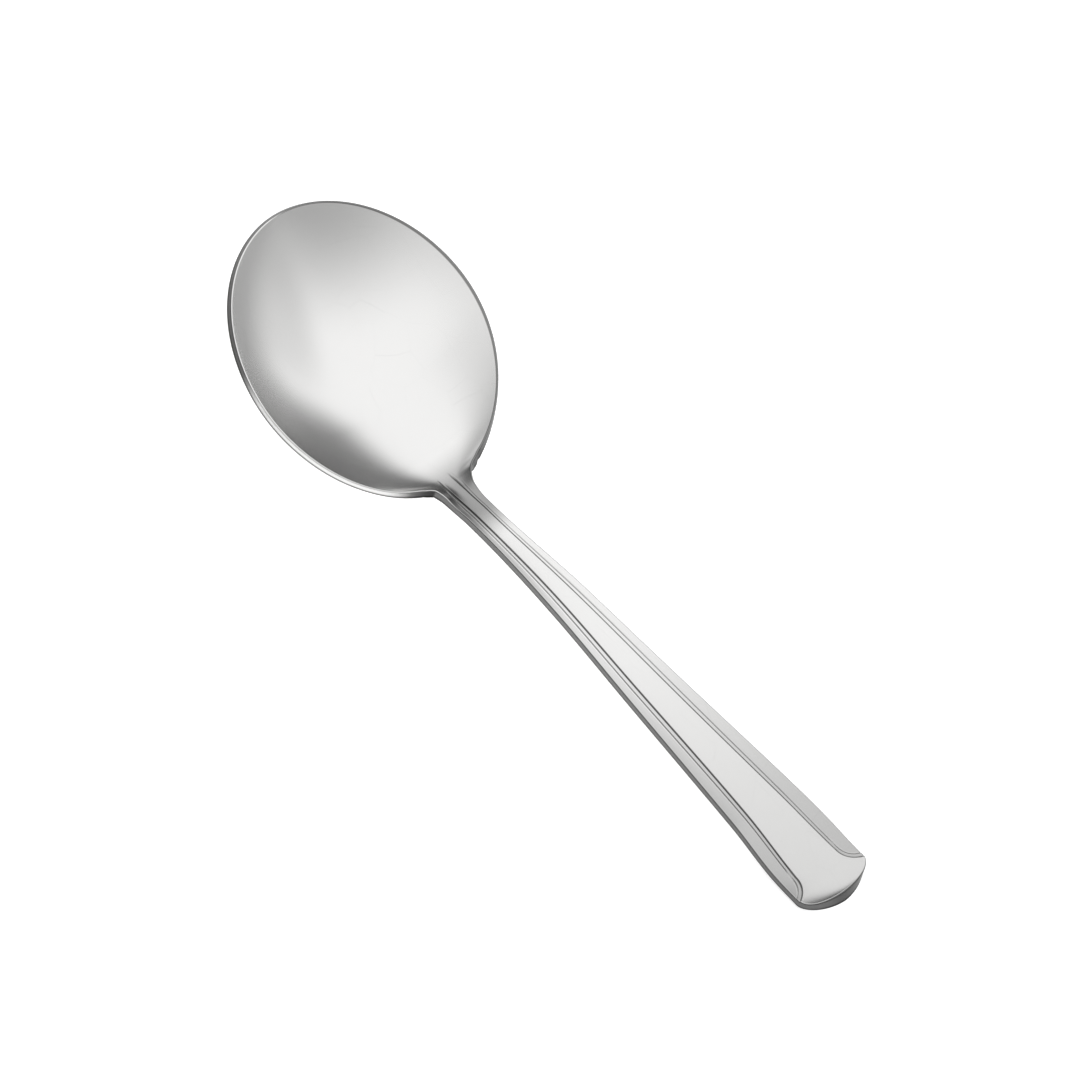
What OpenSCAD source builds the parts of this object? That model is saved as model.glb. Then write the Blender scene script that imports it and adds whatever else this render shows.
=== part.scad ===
// Round-bowl soup spoon, stamped from one sheet of stainless steel.
// It lies at rest: the bowl and the end of the handle stand on the plane z = 0,
// the bowl points to -X, the handle to +X, and the spoon is symmetric about y = 0.
// One surface runs through the whole spoon. Stations along the length give its
// half width, its heights and its metal thickness, and each node is a stretch of it.

/* [Overall] */
// Length of the spoon as it lies, bowl tip to handle end
overall_length = 154; // [136:1:176]

/* [Bowl] */
// Length of the rim, from its tip to the heel where it meets the neck
bowl_length = 52; // [48:0.5:58]
// Width across the top of the rim at its widest
bowl_width = 49.8; // [40:0.5:54]
// Distance from the tip to the widest place
widest_from_tip = 26.5; // [24:0.5:30]
// Distance from the tip to the spot that the bowl stands on
foot_from_tip = 34; // [31:0.5:37]
// Height of the rim at the tip
tip_height = 19.9; // [14:0.2:22]
// Height of the rim at the heel
heel_height = 3.8; // [3:0.1:5]
// How far the rim bows up between tip and heel
rim_bow = 1.4; // [0.5:0.1:2.5]
// Thickness of the metal in the bowl
bowl_metal = 1.1; // [0.8:0.05:1.6]

/* [Neck] */
// Width of the neck at its narrowest
neck_width = 6.1; // [5:0.1:9]
// Distance from the heel to the narrowest place
neck_from_heel = 8; // [7:0.5:12]
// Height of the neck's top face at the heel
heel_floor_height = 1.7; // [1.6:0.05:2.4]
// Height of the neck's top face at the narrowest place
neck_height = 2.6; // [2.5:0.1:4]
// Thickness of the metal in the neck
neck_metal = 1.7; // [1.2:0.05:2]

/* [Handle] */
// Height of the top face where the handle arches highest
crest_height = 3.6; // [3:0.1:8]
// Width of the handle at its widest, near the end
end_width = 16.6; // [12:0.5:20]
// Thickness of the metal at the end of the handle
end_metal = 1.5; // [1:0.05:1.8]
// How deep the handle's top face is dished across its widest place
handle_dish = 0.6; // [0:0.05:0.8]
// Length of the flat under the end that the handle stands on
pad_length = 7; // [4:0.5:10]
// Length of the curve that closes the end
end_curve = 4.6; // [3:0.2:8]
// Length of the slope from the top face to the underside at the end
end_slope = 1.3; // [0.4:0.1:2]
// Size of the corner on the metal's cut edge
edge_corner = 0.25; // [0.1:0.05:0.4]

/* [Raised panel] */
// Height of the centre panel above the side panels
panel_step = 0.25; // [0.1:0.05:0.6]
// Width of the slope at the side of the centre panel, at the neck
step_neck_width = 0.4; // [0.2:0.05:0.8]
// Width of that slope where the side panels start to close
step_end_width = 0.8; // [0.4:0.1:1.6]
// Width of the centre panel at the neck
panel_neck_width = 2.5; // [1.6:0.1:3.4]
// Width of the centre panel where the side panels start to close
panel_end_width = 10; // [6:0.5:11]
// Length over which the side panels close at the end of the handle
panel_close = 3.6; // [3:0.2:9]

/* [Hidden] */

bowl_colour = [0.78, 0.78, 0.77];
neck_colour = [0.66, 0.66, 0.65];
handle_colour = [0.85, 0.85, 0.84];
end_colour = [0.72, 0.72, 0.71];

// Fullness of outlines: 2 is an ellipse, more is squarer
rim_fullness = 1.97;
end_fullness = 1.75;
// Steepness of the bowl at its rim, as slope over rise: 2 is a parabola, 4 a flat floor
front_steepness = 2.3;
section_steepness = 1.7;
// Where the rim bows highest follows from this power
bow_power = 4;

// Shares along the handle, from the heel to the end, where its sizes are set
crest_share = 0.3;
middle_share = 0.5;
shoulder_share = 0.78;
widest_share = 0.9;
// Shares of the way from one named size to the next
middle_height_share = 0.75;
shoulder_height_share = 0.48;
root_width_share = 2.1;
fillet_width_share = 0.4;
crest_width_share = 0.21;
middle_width_share = 0.47;
shoulder_width_share = 0.845;
middle_panel_share = 0.37;
closed_share = 0.88;
shoulder_panel_share = 0.72;
side_limit_share = 0.93;
// Shares of the neck's length for its fillets, and of the closing length for the panel's end
fillet_share = 0.05;
throat_share = 1 / 3;
throat_width_share = 0.1;
fade_share = 1 / 6;
fade_length_share = 0.5;
rise_start_share = 0.7;
rise_length_share = 0.4;

// Number of lanes from the middle line to the edge: raised panel, slope, side panel
panel_lanes = 4;
slope_lanes = 1;
side_lanes = 4;
half_lanes = panel_lanes + slope_lanes + side_lanes;
lanes = 2 * half_lanes + 1;

// Number of stations in each stretch
front_steps = 17;
rear_steps = 19;
neck_steps = 9;
handle_steps = 26;
closing_steps = 5;
end_steps = 8;

handle_start = bowl_length + neck_from_heel;
neck_rise_start = bowl_length - neck_from_heel;
// The curves at both ends stop at a short straight facet instead of a point
tip_angle = 90 / (2 * front_steps);
front_reach = widest_from_tip / cos(tip_angle);
rear_reach = bowl_length - widest_from_tip;
// The underside reaches ahead of the rim by the lead, because the metal slopes up there
floor_reach = foot_from_tip + front_reach - widest_from_tip;
tip_slope = (tip_height - bowl_metal) * front_steepness / floor_reach;
front_lead = bowl_metal * sin(atan(tip_slope));
end_station = overall_length - front_lead;
handle_length = end_station - bowl_length;
closing_start = end_station - end_curve - panel_close;
pad_start = end_station - pad_length;
end_angle = 90 / (2 * end_steps);
end_reach = end_curve / cos(end_angle);
heel_blend = neck_metal / 2;
root_blend = neck_width / 4;
// The bowl's lanes turn into the handle's from a place just inside the heel
fade_start = bowl_length - neck_from_heel * fade_share;
fade_length = neck_from_heel * fade_length_share;
rise_start = closing_start + panel_close * rise_start_share;
rise_length = panel_close * rise_length_share;
tiny_share = 0.0001;
tiny = overall_length * tiny_share;

function mix(a, b, share) = a + (b - a) * share;
function clamp(share) = min(1, max(0, share));
function ease(share) = let (t = clamp(share)) t * t * (3 - 2 * t);
function from_heel(share) = bowl_length + handle_length * share;
// Rise of a hollow from its floor to its edge, with the steepness there
function hollow(t, steepness) = mix(t * t, pow(t, 4), steepness / 2 - 1);

// Greater of two sizes, rounded where they cross
function soft_max(a, b, round) = max(a, b) + pow(max(round - abs(a - b), 0), 2) / (4 * round);

// Smooth curve through a table of [station, size] that never overshoots
function secant(table, i) = (table[i + 1][1] - table[i][1]) / (table[i + 1][0] - table[i][0]);
function middle_slope(a, b) = a * b <= 0 ? 0 : 2 * a * b / (a + b);
function slope_at(table, i) =
    i == 0 ? secant(table, 0)
    : i == len(table) - 1 ? secant(table, i - 1)
    : middle_slope(secant(table, i - 1), secant(table, i));
function span_of(table, s, i = 0) =
    i >= len(table) - 2 || s < table[i + 1][0] ? i : span_of(table, s, i + 1);
function curve(table, s) =
    let (i = span_of(table, s))
    let (run = table[i + 1][0] - table[i][0])
    let (t = clamp((s - table[i][0]) / run))
    let (a = table[i][1])
    let (b = table[i + 1][1])
    let (p = slope_at(table, i) * run)
    let (q = slope_at(table, i + 1) * run)
    a * (2 * t * t * t - 3 * t * t + 1) + p * (t * t * t - 2 * t * t + t)
    + b * (3 * t * t - 2 * t * t * t) + q * (t * t * t - t * t);

// Half widths of the handle, seen from above, without the curve that closes its end
width_table = [
    [bowl_length - heel_blend, neck_width * root_width_share / 2],
    [bowl_length + neck_from_heel * fillet_share,
     neck_width * mix(1, root_width_share, fillet_width_share) / 2],
    [bowl_length + neck_from_heel * throat_share,
     neck_width * mix(1, root_width_share, throat_width_share) / 2],
    [handle_start, neck_width / 2],
    [from_heel(crest_share), mix(neck_width, end_width, crest_width_share) / 2],
    [from_heel(middle_share), mix(neck_width, end_width, middle_width_share) / 2],
    [from_heel(shoulder_share), mix(neck_width, end_width, shoulder_width_share) / 2],
    [from_heel(widest_share), end_width / 2],
    [end_station, end_width / 2]
];

// Half widths of the raised centre panel
panel_table = [
    [bowl_length, panel_neck_width / 2],
    [handle_start, panel_neck_width / 2],
    [from_heel(middle_share), mix(panel_neck_width, panel_end_width, middle_panel_share) / 2],
    [from_heel(shoulder_share), mix(panel_neck_width, panel_end_width, shoulder_panel_share) / 2],
    [closing_start, panel_end_width / 2]
];

// Heights of the underside from the spot that the bowl stands on to the end
under_table = [
    [widest_from_tip, 0],
    [foot_from_tip, 0],
    [bowl_length, heel_floor_height - metal(bowl_length)],
    [handle_start, neck_height - neck_metal],
    [from_heel(crest_share), crest_height - metal(from_heel(crest_share))],
    [from_heel(middle_share), (crest_height - metal(from_heel(middle_share))) * middle_height_share],
    [from_heel(shoulder_share), (crest_height - end_metal) * shoulder_height_share],
    [pad_start, 0],
    [end_station, 0]
];

function metal(s) =
    s < handle_start ? mix(bowl_metal, neck_metal, ease((s - neck_rise_start) / (2 * neck_from_heel)))
    : mix(neck_metal, end_metal, clamp((s - handle_start) / (end_station - handle_start)));

function under_height(s) = s >= pad_start ? 0 : curve(under_table, s);
function floor_height(s) = under_height(s) + metal(s);

// Rim seen from above: half width of the bowl at a station
function oval(reach, distance) =
    pow(max(1 - pow(min(abs(distance) / reach, 1), rim_fullness), 0), 1 / rim_fullness);
function bowl_half(s) =
    bowl_width / 2 * oval(s < widest_from_tip ? front_reach : rear_reach, s - widest_from_tip);

// Closing curve of the handle's end, as a share of the half width
function end_share(s) =
    let (d = (s - end_station + end_curve) / end_reach)
    d <= 0 ? 1 : pow(1 - pow(d, end_fullness), 1 / end_fullness);

function half_width(s) =
    s < widest_from_tip ? bowl_half(s)
    : soft_max(bowl_half(s), curve(width_table, s), root_blend) * end_share(s);

// The corner of the cut edge stands out from the faces to the full width
function face_half(s) = half_width(s) - edge_corner;

function panel_half(s) =
    let (closed = face_half(s) * closed_share)
    s < closing_start ? min(curve(panel_table, s), closed)
    : mix(panel_end_width / 2, closed, pow(clamp((s - closing_start) / panel_close), 2));
function step_width(s) =
    mix(step_neck_width, step_end_width, clamp((s - handle_start) / (closing_start - handle_start)));

// Height of the rim, and of the bowl's floor along the middle line ahead of its foot
bow_peak = pow(bow_power, -1 / (bow_power - 1));
function bow(t) = (t - pow(t, bow_power)) / (bow_peak - pow(bow_peak, bow_power));
function rim_line(s) =
    let (t = s / bowl_length)
    mix(tip_height, heel_height, t) + rim_bow * bow(t);
function front_floor(s) =
    bowl_metal + (tip_height - bowl_metal) * hollow((foot_from_tip - s) / floor_reach, front_steepness);

// Top face without the raised panel: height at the middle line and at the edge
function middle_height(s) = s < foot_from_tip ? front_floor(s) : floor_height(s);
function edge_height(s) =
    s > handle_start + neck_from_heel ? floor_height(s)
    : soft_max(rim_line(s), floor_height(s), neck_metal);

function base_height(s, u) =
    mix(middle_height(s), edge_height(s), hollow(abs(u), section_steepness));

// Direction square to the top face at a station s and a share u of the half width
function square_to(s, u) =
    let (ws = (half_width(s + tiny) - half_width(s)) / tiny)
    let (hs = (base_height(s + tiny, u) - base_height(s, u)) / tiny)
    let (step = u < 0 ? tiny_share : -tiny_share)
    let (hu = (base_height(s, u + step) - base_height(s, u)) / step)
    let (n = [u * ws * hu - hs * half_width(s), -hu, half_width(s)])
    n / norm(n);

// How far a station has changed from bowl to handle
function handled(s) = ease((s - fade_start) / fade_length);
// How far the metal's thickness has turned from square to its face to upright
function plain_below(s) = ease((s - bowl_length) / neck_from_heel);

// Share of the half width at which a lane runs
function bowl_lane(k) = sin(90 * k / half_lanes);
function handle_lane(s, k) =
    let (inner = panel_half(s) / face_half(s))
    let (outer = (panel_half(s) + step_width(s)) / face_half(s))
    k <= panel_lanes ? inner * k / panel_lanes
    : mix(min(outer, side_limit_share), 1, (k - panel_lanes - slope_lanes) / side_lanes);
function lane(s, k) =
    sign(k) * mix(bowl_lane(abs(k)), handle_lane(s, abs(k)), handled(s));

// Rise of the centre panel, which takes the full width where the side panels close
function rise(s, k) =
    panel_step * handled(s)
    * (abs(k) <= panel_lanes ? 1 : ease((s - rise_start) / rise_length));

// The handle's top face is dished across its width, over a flat underside
function dish(s, u) = handle_dish * half_width(s) / (end_width / 2) * (1 - u * u) * handled(s);

// The top face stops short of the end, where the metal slopes down to the underside
function set_back(s) = end_slope * pow(clamp((s - end_station + end_curve) / end_curve), 2);

function top_point(s, k) =
    let (u = lane(s, k))
    [s - set_back(s), u * face_half(s), base_height(s, u) - dish(s, u) + rise(s, k)];

function under_point(s, k) =
    let (u = lane(s, k))
    let (p = [s, u * face_half(s), base_height(s, u)])
    let (formed = p - square_to(s, u) * metal(s))
    let (plain = p - [0, 0, metal(s)])
    mix(formed, plain, plain_below(s));

// One ring of points round the metal: top face, one edge, underside, other edge
function edge_point(s, side) =
    let (a = top_point(s, side * half_lanes))
    let (b = under_point(s, side * half_lanes))
    let (out = a - top_point(s, side * (half_lanes - 1)))
    (a + b) / 2 + out / norm(out) * edge_corner;

function ring(s) = concat(
    [for (k = [-half_lanes:half_lanes]) top_point(s, k)],
    [edge_point(s, 1)],
    [for (k = [half_lanes:-1:-half_lanes]) under_point(s, k)],
    [edge_point(s, -1)]
);
ring_points = 2 * lanes + 2;

// Faces of a skin through the rings, with both ends closed by strips
function skin_faces(count) = concat(
    [for (i = [0:count - 2]) for (j = [0:ring_points - 1])
        [i * ring_points + j, i * ring_points + (j + 1) % ring_points,
         (i + 1) * ring_points + (j + 1) % ring_points]],
    [for (i = [0:count - 2]) for (j = [0:ring_points - 1])
        [i * ring_points + j, (i + 1) * ring_points + (j + 1) % ring_points,
         (i + 1) * ring_points + j]],
    cap_faces(0, false),
    cap_faces((count - 1) * ring_points, true)
);
function turned(face, flip) = flip ? [face[2], face[1], face[0]] : face;
function opposite(j) = 2 * lanes - j;
function cap_faces(first, flip) = concat(
    [for (j = [0:lanes - 2]) each [
        turned([first + j, first + opposite(j), first + opposite(j + 1)], flip),
        turned([first + j, first + opposite(j + 1), first + j + 1], flip)]],
    [turned([first + lanes - 1, first + lanes + 1, first + lanes], flip)],
    [turned([first, first + 2 * lanes + 1, first + 2 * lanes], flip)]
);

// The metal between two stations, set so that the whole spoon is centred on x = 0
module stretch(stations) {
    translate([front_lead - overall_length / 2, 0, 0])
        polyhedron(points = [for (s = stations) each ring(s)], faces = skin_faces(len(stations)));
}

function spread(a, b, steps) = [for (i = [0:steps]) mix(a, b, i / steps)];

bowl_stations = concat(
    [for (i = [0:front_steps])
        widest_from_tip - front_reach * cos(mix(tip_angle, 90, i / front_steps))],
    [for (i = [1:rear_steps])
        widest_from_tip + (fade_start - widest_from_tip) * sin(90 * i / rear_steps)]
);

module bowl() {
    color(bowl_colour) stretch(bowl_stations);
}

module neck() {
    color(neck_colour) stretch(spread(fade_start, handle_start, neck_steps));
}

module handle() {
    color(handle_colour) stretch(spread(handle_start, closing_start, handle_steps));
}

module handle_end() {
    color(end_colour)
        stretch(concat(
            spread(closing_start, end_station - end_curve, closing_steps),
            [for (i = [1:end_steps])
                end_station - end_curve + end_reach * sin((90 - end_angle) * i / end_steps)]
        ));
}

bowl();
neck();
handle();
handle_end();
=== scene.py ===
"""Round-bowl soup spoon in satin stainless steel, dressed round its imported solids.

One skin runs through the whole spoon, as one blank of sheet steel does. Stations along the
length, counted in millimetres from the bowl's tip, give its outline, heights and metal. The skin
is cut at the stations where the solids meet, so the bowl, neck, handle and handle end stay
separate pieces that share one smooth surface.
"""

import logging
import math
from dataclasses import dataclass
from enum import Enum
from typing import Iterable, Sequence

import bmesh
import bpy
import numpy as np
from mathutils import Matrix, Vector


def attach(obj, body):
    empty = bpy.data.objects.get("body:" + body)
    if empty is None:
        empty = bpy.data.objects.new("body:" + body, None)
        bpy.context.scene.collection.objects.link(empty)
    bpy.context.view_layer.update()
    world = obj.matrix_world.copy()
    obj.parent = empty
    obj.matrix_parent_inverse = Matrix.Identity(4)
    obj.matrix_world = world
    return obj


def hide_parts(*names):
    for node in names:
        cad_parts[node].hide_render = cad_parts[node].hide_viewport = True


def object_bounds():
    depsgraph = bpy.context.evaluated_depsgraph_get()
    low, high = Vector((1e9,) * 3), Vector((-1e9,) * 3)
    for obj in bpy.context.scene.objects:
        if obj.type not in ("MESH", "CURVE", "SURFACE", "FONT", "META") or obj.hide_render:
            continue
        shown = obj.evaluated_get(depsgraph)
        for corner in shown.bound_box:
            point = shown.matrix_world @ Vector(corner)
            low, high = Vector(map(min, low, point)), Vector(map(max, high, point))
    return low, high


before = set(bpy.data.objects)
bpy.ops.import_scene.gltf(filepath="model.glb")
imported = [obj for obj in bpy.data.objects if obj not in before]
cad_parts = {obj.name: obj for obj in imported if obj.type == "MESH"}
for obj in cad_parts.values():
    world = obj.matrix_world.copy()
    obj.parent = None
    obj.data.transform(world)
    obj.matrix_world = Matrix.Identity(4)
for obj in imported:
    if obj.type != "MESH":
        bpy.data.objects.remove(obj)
CAD_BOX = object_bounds()

LOG = logging.getLogger("soup_spoon")
MM = 0.001
MERGE_DISTANCE = 1e-7
SLOPE_STEP = 1e-3
SMALLEST_SIZE = 1e-6
SMALLEST_LENGTH = 1e-12
GRID_HALF = 0.5

Sizes = float | np.ndarray


def mix(low: Sizes, high: Sizes, share: Sizes) -> Sizes:
    """Returns the value a share of the way from low to high."""
    return low + (high - low) * share


def clamp(share: Sizes) -> Sizes:
    """Returns the share kept between 0 and 1."""
    return np.clip(share, 0.0, 1.0)


def ease(share: Sizes) -> Sizes:
    """Returns a share that starts and ends gently."""
    held = clamp(share)
    return held * held * (3 - 2 * held)


def hill(distance: np.ndarray, half_width: float) -> np.ndarray:
    """Returns a smooth bump, 1 at no distance and 0 past its half width."""
    return np.maximum(1 - (distance / half_width) ** 2, 0) ** 2


def greater(first: np.ndarray, second: np.ndarray, rounding: float) -> np.ndarray:
    """Returns the greater of two sizes, rounded where they cross."""
    overlap = np.maximum(rounding - np.abs(first - second), 0)
    return np.maximum(first, second) + overlap**2 / (4 * rounding)


def unit(vectors: np.ndarray) -> np.ndarray:
    """Returns the vectors at length 1."""
    return vectors / np.maximum(np.linalg.norm(vectors, axis=-1, keepdims=True), SMALLEST_LENGTH)


def beyond(distance: np.ndarray, width: float) -> np.ndarray:
    """Returns how far across a line of this width a place lies, from 0 before it to 1 past it."""
    return ease(distance / width + 0.5)


class SmoothCurve:
    """A curve through a few places that never overshoots them."""

    def __init__(self, places: Sequence[tuple[float, float]]) -> None:
        """Works out the curve's slopes.

        Args:
            places: Pairs of station and size, in order.
        """
        self.x = np.array([place[0] for place in places], float)
        self.y = np.array([place[1] for place in places], float)
        secants = np.diff(self.y) / np.diff(self.x)
        before, after = secants[:-1], secants[1:]
        same = before * after > 0
        middle = np.where(same, 2 * before * after / np.where(same, before + after, 1), 0)
        self.slopes = np.concatenate([secants[:1], middle, secants[-1:]])

    def __call__(self, station: Sizes) -> Sizes:
        """Follows the curve.

        Args:
            station: The stations.

        Returns:
            The size at each station.
        """
        i = np.clip(np.searchsorted(self.x, station, side="right") - 1, 0, len(self.x) - 2)
        run = self.x[i + 1] - self.x[i]
        t = clamp((station - self.x[i]) / run)
        start, finish = self.slopes[i] * run, self.slopes[i + 1] * run
        return (
            self.y[i] * (2 * t**3 - 3 * t**2 + 1)
            + start * (t**3 - 2 * t**2 + t)
            + self.y[i + 1] * (3 * t**2 - 2 * t**3)
            + finish * (t**3 - t**2)
        )


@dataclass(frozen=True)
class BowlSizes:
    """Sizes of the bowl and its places from the tip, in millimetres."""

    length: float = 52.0
    width: float = 49.8
    widest: float = 26.5
    foot: float = 34.0
    tip_height: float = (CAD_BOX[1].z - CAD_BOX[0].z) / MM
    heel_height: float = 3.8
    rim_bow: float = 1.4
    bow_power: float = 4.0
    metal: float = 1.1
    fullness: float = 1.97
    front_steepness: float = 2.3
    section_steepness: float = 1.7
    mirrored_depth_share: float = 0.7
    row_power: float = 0.9


@dataclass(frozen=True)
class NeckSizes:
    """Sizes of the neck in millimetres, with shares of its width and of its length from the heel."""

    width: float = 6.1
    from_heel: float = 8.0
    heel_floor: float = 1.7
    height: float = 2.6
    metal: float = 1.7
    root_width_share: float = 2.1
    fillet_share: float = 0.05
    fillet_width_share: float = 0.4
    throat_share: float = 1 / 3
    throat_width_share: float = 0.1
    fade_share: float = 1 / 6
    fade_length_share: float = 0.5
    root_blend_share: float = 0.25


@dataclass(frozen=True)
class HandleSizes:
    """Sizes of the handle, with shares of its length and width between neck and end."""

    crest_height: float = 3.6
    dish: float = 0.6
    crest_share: float = 0.3
    middle_share: float = 0.5
    shoulder_share: float = 0.78
    widest_share: float = 0.9
    middle_height_share: float = 0.75
    shoulder_height_share: float = 0.48
    crest_width_share: float = 0.21
    middle_width_share: float = 0.47
    shoulder_width_share: float = 0.845


@dataclass(frozen=True)
class EndSizes:
    """Sizes of the handle's end and of the cut edge, in millimetres."""

    width: float = 16.6
    metal: float = 1.5
    pad: float = 7.0
    curve: float = 4.6
    slope: float = 1.3
    fullness: float = 1.75
    corner: float = 0.25
    undercut: float = 0.22


@dataclass(frozen=True)
class PanelSizes:
    """Sizes of the coined centre panel and of the two fine steps at its sides."""

    rise: float = 0.25
    inner_drop_share: float = 0.6
    neck_width: float = 2.5
    end_width: float = 10.0
    middle_share: float = 0.37
    shoulder_share: float = 0.72
    strip_neck: float = 0.55
    strip_middle: float = 0.85
    strip_end: float = 0.65
    step_width: float = 0.1
    groove_half: float = 0.17
    inner_groove: float = 0.12
    outer_groove: float = 0.05
    lip: float = 0.03
    lip_offset: float = 0.2
    lip_half: float = 0.16
    close: float = 3.6
    start: float = 49.8
    start_length: float = 1.6
    outer_start: float = 56.0
    outer_start_length: float = 34.0
    outer_start_share: float = 0.35
    outer_mark: float = 0.6
    outer_mark_share: float = 0.7
    face_limit_share: float = 0.9


@dataclass(frozen=True)
class ClosingCurve:
    """The quarter oval in which a panel line leaves the handle's axis for its side."""

    early: float
    reach: float
    spread: float


INNER_CLOSING = ClosingCurve(early=0.0, reach=4.2, spread=5.2)
OUTER_CLOSING = ClosingCurve(early=0.4, reach=3.6, spread=3.6)


class SpoonForm:
    """The spoon's outline, heights and metal as functions of the station."""

    def __init__(self) -> None:
        """Works the stations and curves out of the pieces' sizes."""
        self.bowl, self.neck, self.handle = BowlSizes(), NeckSizes(), HandleSizes()
        self.end, self.panel = EndSizes(), PanelSizes()
        self.set_stations()
        self.set_widths()
        self.set_heights()

    def set_stations(self) -> None:
        """Finds where each stretch of the spoon starts and ends."""
        bowl, neck, end = self.bowl, self.neck, self.end
        slope = (bowl.tip_height - bowl.metal) * bowl.front_steepness / bowl.foot
        self.lead = bowl.metal * math.sin(math.atan(slope))
        self.length = (CAD_BOX[1].x - CAD_BOX[0].x) / MM
        self.end_station = self.length - self.lead
        self.origin = CAD_BOX[1].x / MM - self.end_station
        self.handle_start = bowl.length + neck.from_heel
        self.handle_length = self.end_station - bowl.length
        self.curve_start = self.end_station - end.curve
        self.closing_start = self.curve_start - self.panel.close
        self.pad_start = self.end_station - end.pad
        self.neck_start = bowl.length - neck.from_heel * neck.fade_share
        self.fade_length = neck.from_heel * neck.fade_length_share

    def from_heel(self, share: float) -> float:
        """Returns the station a share of the way from the heel to the end."""
        return self.bowl.length + self.handle_length * share

    def handle_half(self, share: float) -> float:
        """Returns the half width a share of the way from the neck's to the end's."""
        return mix(self.neck.width, self.end.width, share) / 2

    def panel_half(self, share: float) -> float:
        """Returns the centre panel's half width a share of the way from its neck to its end."""
        return mix(self.panel.neck_width, self.panel.end_width, share) / 2

    def set_widths(self) -> None:
        """Sets the half widths of the handle and of its centre panel."""
        neck, handle, end, panel = self.neck, self.handle, self.end, self.panel
        fillet = neck.width * mix(1, neck.root_width_share, neck.fillet_width_share)
        throat = neck.width * mix(1, neck.root_width_share, neck.throat_width_share)
        self.widths = SmoothCurve([
            (self.bowl.length - neck.metal / 2, neck.width * neck.root_width_share / 2),
            (self.bowl.length + neck.from_heel * neck.fillet_share, fillet / 2),
            (self.bowl.length + neck.from_heel * neck.throat_share, throat / 2),
            (self.handle_start, neck.width / 2),
            (self.from_heel(handle.crest_share), self.handle_half(handle.crest_width_share)),
            (self.from_heel(handle.middle_share), self.handle_half(handle.middle_width_share)),
            (self.from_heel(handle.shoulder_share), self.handle_half(handle.shoulder_width_share)),
            (self.from_heel(handle.widest_share), end.width / 2),
            (self.end_station, end.width / 2),
        ])
        self.panel_halves = SmoothCurve([
            (self.bowl.length, panel.neck_width / 2),
            (self.handle_start, panel.neck_width / 2),
            (self.from_heel(handle.middle_share), self.panel_half(panel.middle_share)),
            (self.from_heel(handle.shoulder_share), self.panel_half(panel.shoulder_share)),
            (self.closing_start, panel.end_width / 2),
        ])
        self.strips = SmoothCurve([
            (self.handle_start, panel.strip_neck),
            (self.from_heel(handle.middle_share), panel.strip_middle),
            (self.closing_start, panel.strip_end),
        ])

    def set_heights(self) -> None:
        """Sets the heights of the underside, behind the spot that the bowl stands on."""
        bowl, neck, handle = self.bowl, self.neck, self.handle
        crest, middle = self.from_heel(handle.crest_share), self.from_heel(handle.middle_share)
        self.undersides = SmoothCurve([
            (bowl.widest, 0.0),
            (bowl.foot, 0.0),
            (bowl.length, neck.heel_floor - float(self.metal(bowl.length))),
            (self.handle_start, neck.height - neck.metal),
            (crest, handle.crest_height - float(self.metal(crest))),
            (middle, (handle.crest_height - float(self.metal(middle))) * handle.middle_height_share),
            (self.from_heel(handle.shoulder_share),
             (handle.crest_height - self.end.metal) * handle.shoulder_height_share),
            (self.pad_start, 0.0),
            (self.end_station, 0.0),
        ])

    def metal(self, s: Sizes) -> Sizes:
        """Works out the metal's thickness, which grows from bowl to neck and falls to the end.

        Args:
            s: The stations.

        Returns:
            The thickness at each station.
        """
        bowl, neck, end = self.bowl, self.neck, self.end
        rise = ease((s - bowl.length + neck.from_heel) / (2 * neck.from_heel))
        fall = clamp((s - self.handle_start) / (self.end_station - self.handle_start))
        return mix(mix(bowl.metal, neck.metal, rise), end.metal, fall)

    def handled(self, s: np.ndarray) -> np.ndarray:
        """Returns how far a station has changed from bowl to handle."""
        return ease((s - self.neck_start) / self.fade_length)

    def plain_below(self, s: np.ndarray) -> np.ndarray:
        """Returns how far the metal's thickness has turned from square to its face to upright."""
        return ease((s - self.bowl.length) / self.neck.from_heel)

    def oval(self, s: np.ndarray) -> np.ndarray:
        """Follows the bowl's outline, two halves of ovals that meet at its widest place.

        Args:
            s: The stations.

        Returns:
            The bowl's half width at each station.
        """
        bowl = self.bowl
        reach = np.where(s < bowl.widest, bowl.widest, bowl.length - bowl.widest)
        share = np.minimum(np.abs(s - bowl.widest) / reach, 1)
        return bowl.width / 2 * (1 - share**bowl.fullness) ** (1 / bowl.fullness)

    def half_width(self, s: np.ndarray) -> np.ndarray:
        """Joins the bowl's outline to the handle's and closes it at both ends.

        Args:
            s: The stations.

        Returns:
            The spoon's half width at each station.
        """
        joined = greater(self.oval(s), self.widths(s), self.neck.width * self.neck.root_blend_share)
        past = clamp((s - self.curve_start) / self.end.curve)
        closed = (1 - past**self.end.fullness) ** (1 / self.end.fullness)
        return np.where(s < self.bowl.widest, self.oval(s), joined * closed)

    def floor_height(self, s: np.ndarray) -> np.ndarray:
        """Returns the height of the plain top face behind the bowl's foot."""
        return self.undersides(s) + self.metal(s)

    def middle_height(self, s: np.ndarray) -> np.ndarray:
        """Follows the top face along the middle line.

        Args:
            s: The stations.

        Returns:
            The height at each station.
        """
        bowl = self.bowl
        rise = self.hollow(np.maximum(bowl.foot - s, 0) / bowl.foot, bowl.front_steepness)
        front = mix(bowl.metal, bowl.tip_height, rise)
        return np.where(s < bowl.foot, front, self.floor_height(s))

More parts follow.
